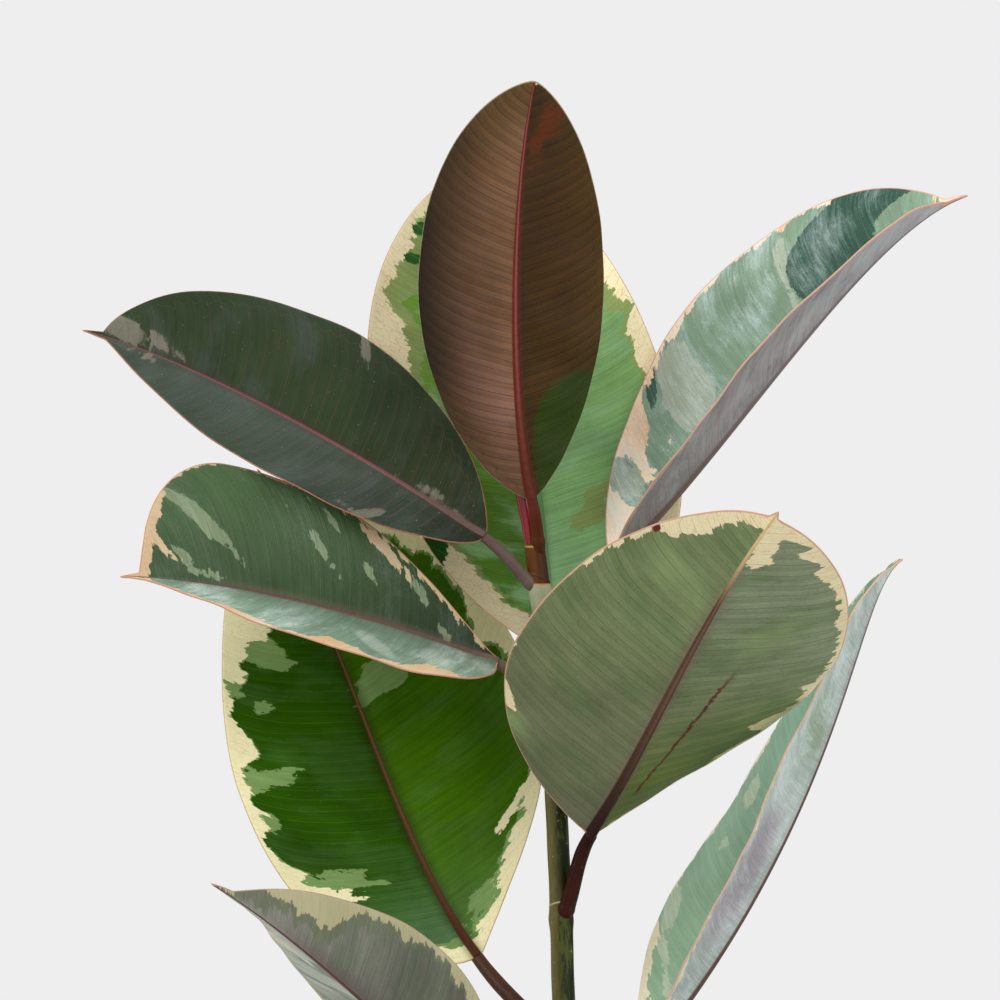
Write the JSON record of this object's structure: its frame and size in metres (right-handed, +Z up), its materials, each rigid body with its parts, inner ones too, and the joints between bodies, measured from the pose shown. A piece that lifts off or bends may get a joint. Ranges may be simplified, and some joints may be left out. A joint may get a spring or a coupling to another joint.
{
  "type": "potted variegated rubber plant",
  "caption": "Upright foliage plant with large oval cream-edged leaves on one stem, standing in soil in a plain clay pot.",
  "frame": {"origin": "middle of the pot's flat underside", "axes": "+Z up along the pot's axis, -Y towards the side that the picture shows"},
  "size_m": [0.4155, 0.4188, 0.7872],
  "materials": {
    "blade": "satin",
    "petiole": "satin",
    "bark": "satin",
    "bud": "gloss",
    "soil": "matte",
    "terracotta": "matte"
  },
  "bodies": {
    "root": {"pot": "terracotta", "soil": "soil", "stem": "bark", "bud_sheath": "bud", "leaf_crown": "blade", "petiole_crown": "petiole", "leaf_left_upper": "blade", "petiole_left_upper": "petiole", "leaf_right_upper": "blade", "petiole_right_upper": "petiole", "leaf_back": "blade", "petiole_back": "petiole", "leaf_left_middle": "blade", "petiole_left_middle": "petiole", "leaf_front_right": "blade", "petiole_front_right": "petiole", "leaf_left_lower": "blade", "petiole_left_lower": "petiole", "leaf_front_left": "blade", "petiole_front_left": "petiole", "leaf_right_lower": "blade", "petiole_right_lower": "petiole", "leaf_low_back": "blade", "petiole_low_back": "petiole", "leaf_low_front": "blade", "petiole_low_front": "petiole", "leaf_low_left": "blade", "petiole_low_left": "petiole"}
  },
  "joints": []
}
